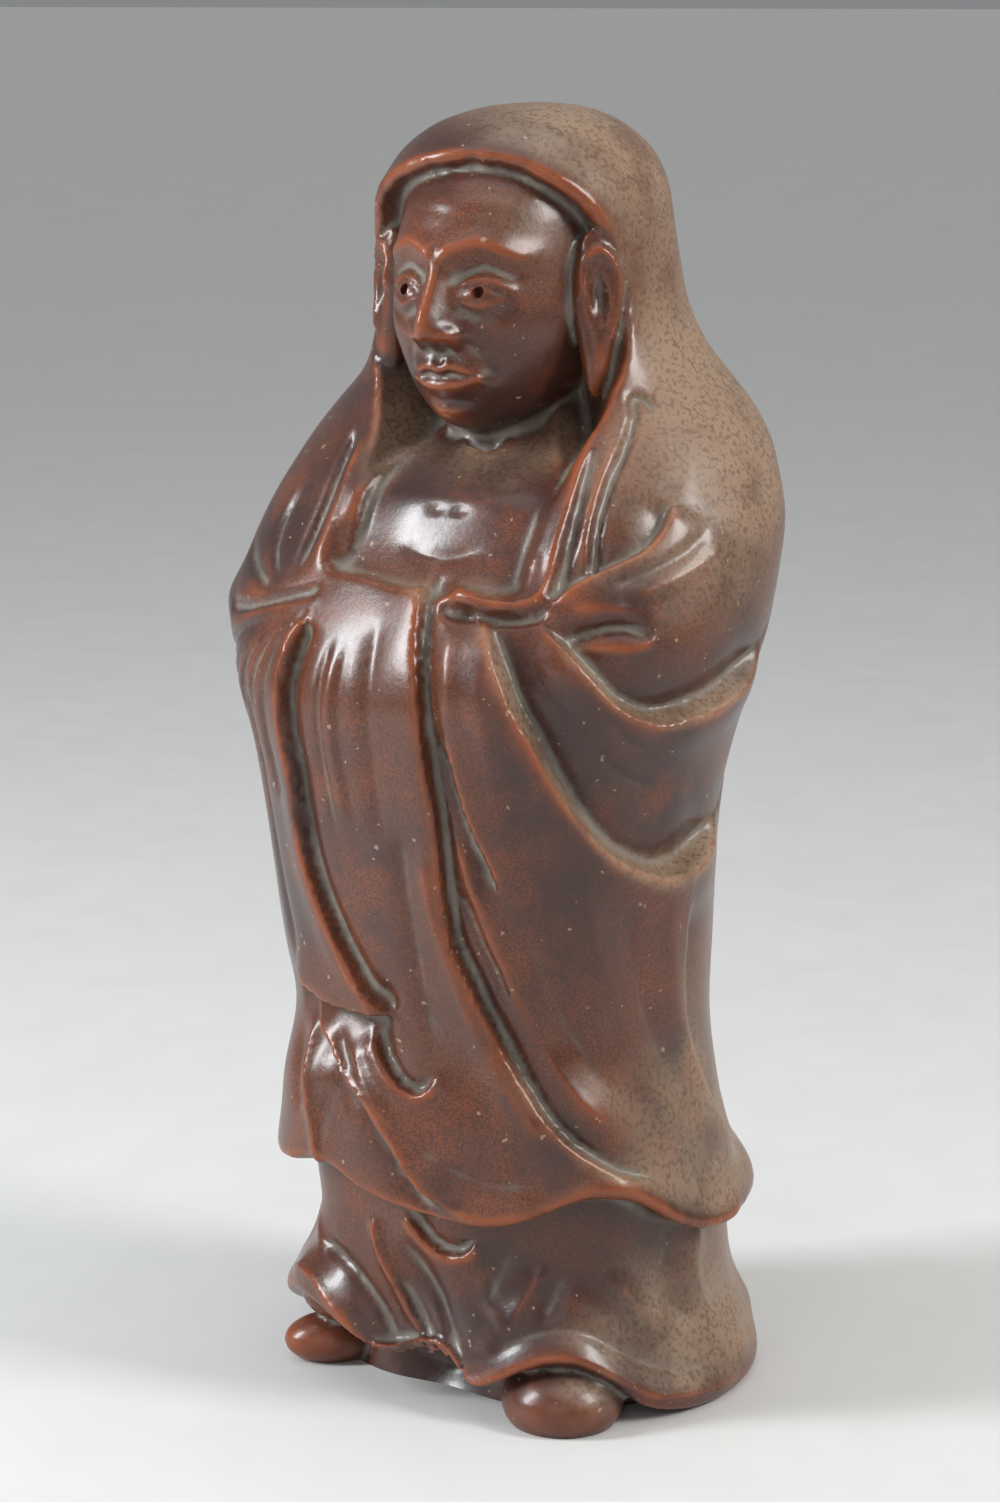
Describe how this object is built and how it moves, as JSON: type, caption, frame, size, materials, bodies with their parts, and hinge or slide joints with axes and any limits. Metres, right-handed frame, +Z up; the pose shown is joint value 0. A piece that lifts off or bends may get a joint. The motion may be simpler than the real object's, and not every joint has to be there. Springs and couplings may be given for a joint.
{
  "type": "hooded sage statue",
  "caption": "Standing hooded sage in a long draped robe, hands hidden in the sleeves, cast in red-brown stoneware with a flat underside.",
  "frame": {"origin": "middle of the box round the figure, on the ground plane that the flat underside rests on", "axes": "+Z up through the hood, -Y to the front, the way the figure faces, +X to the figure's left"},
  "size_m": [0.158, 0.1404, 0.3597],
  "materials": {
    "stoneware": "satin red-brown fired clay with grey slip in the hollows"
  },
  "bodies": {
    "root": {"figure": "stoneware"}
  },
  "joints": []
}
